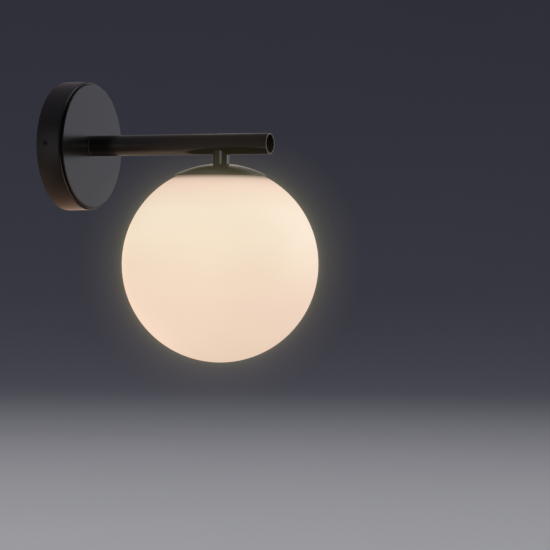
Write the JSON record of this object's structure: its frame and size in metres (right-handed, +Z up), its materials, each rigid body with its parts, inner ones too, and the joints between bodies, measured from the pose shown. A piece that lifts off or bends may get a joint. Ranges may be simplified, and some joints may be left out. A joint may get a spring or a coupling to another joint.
{
  "type": "globe wall sconce",
  "caption": "Wall light with a round black canopy, a straight open-ended tube arm, and an opal glass globe hung under a shallow domed cap on a short stem.",
  "frame": {"origin": "centre of the wall bracket's two slots, on the wall plane", "axes": "+Y into the wall, so the light stands out along -Y; +Z up; +X to the right for someone facing the wall"},
  "size_m": [0.15, 0.208, 0.2168],
  "materials": {
    "satin_black": "satin black powder coat",
    "black_screw": "black oxide",
    "opal_glass": "satin opal, white through its thickness",
    "zinc_steel": "zinc plated",
    "nipple_steel": "yellow passivated zinc",
    "spring_steel": "phosphated spring steel",
    "brass": "plain machined",
    "tinned_brass": "tinned",
    "nickel_contact": "nickel plated",
    "terminal_polyamide": "natural white",
    "black_plastic": "moulded",
    "black_rubber": "matt",
    "silicone": "translucent white",
    "ceramic": "unglazed steatite",
    "lamp_plastic": "white",
    "lamp_cover": "frosted",
    "led_board": "white board with yellow emitters",
    "glass_sleeve": "braided glass fibre",
    "brown_sheath": "silicone sheath",
    "blue_sheath": "silicone sheath",
    "green_yellow_sheath": "striped sheath"
  },
  "bodies": {
    "fixture": {"wall_bracket": "zinc_steel", "cable_grommet": "black_rubber", "canopy_lock_screws": "black_screw", "canopy_cup": "satin_black", "spacer_disc": "satin_black", "face_plate": "satin_black", "arm_tube": "satin_black", "arm_insert": "zinc_steel", "arm_nipple": "nipple_steel", "arm_end_plug": "black_plastic", "arm_sleeving": "glass_sleeve", "nipple_bush": "black_plastic", "arm_earth_tag": "tinned_brass", "toothed_washers": "spring_steel", "lock_nuts": "zinc_steel", "terminal_block": "terminal_polyamide", "terminal_clamps": "brass", "terminal_screws": "zinc_steel", "terminal_fixing_screw": "zinc_steel", "earth_washer": "brass", "earth_screw": "brass", "stem": "satin_black", "cap_nipple": "nipple_steel", "shade_cap": "satin_black", "globe_holder": "zinc_steel", "cap_spacer": "zinc_steel", "lampholder_bracket": "zinc_steel", "lampholder_body": "ceramic", "lampholder_contacts": "nickel_contact", "lampholder_screws": "zinc_steel", "live_lead": "brown_sheath", "neutral_lead": "blue_sheath", "earth_lead": "green_yellow_sheath"},
    "gasket": {"globe_gasket": "silicone"},
    "globe": {"glass_globe": "opal_glass"},
    "lamp": {"lamp_base": "lamp_plastic", "lamp_pins": "nickel_contact", "lamp_envelope": "lamp_cover", "lamp_led_board": "led_board"}
  },
  "joints": [
    {"name": "globe_drop", "type": "slide", "parent": "fixture", "child": "gasket", "axis": [0, 0, -1], "range_m": [0, 0.00251]},
    {"name": "globe_turn", "type": "hinge", "parent": "gasket", "child": "globe", "pos_m": [0, -0.133, -0.0915], "axis": [0, 0, -1], "range_deg": [0, 300]},
    {"name": "lamp_pull", "type": "slide", "parent": "fixture", "child": "lamp", "axis": [0, 0, -1], "range_m": [0, 0.01]}
  ],
  "couplings": [
    {"joint": "globe_drop", "follows": "globe_turn", "m_per_rad": 0.00047746}
  ]
}
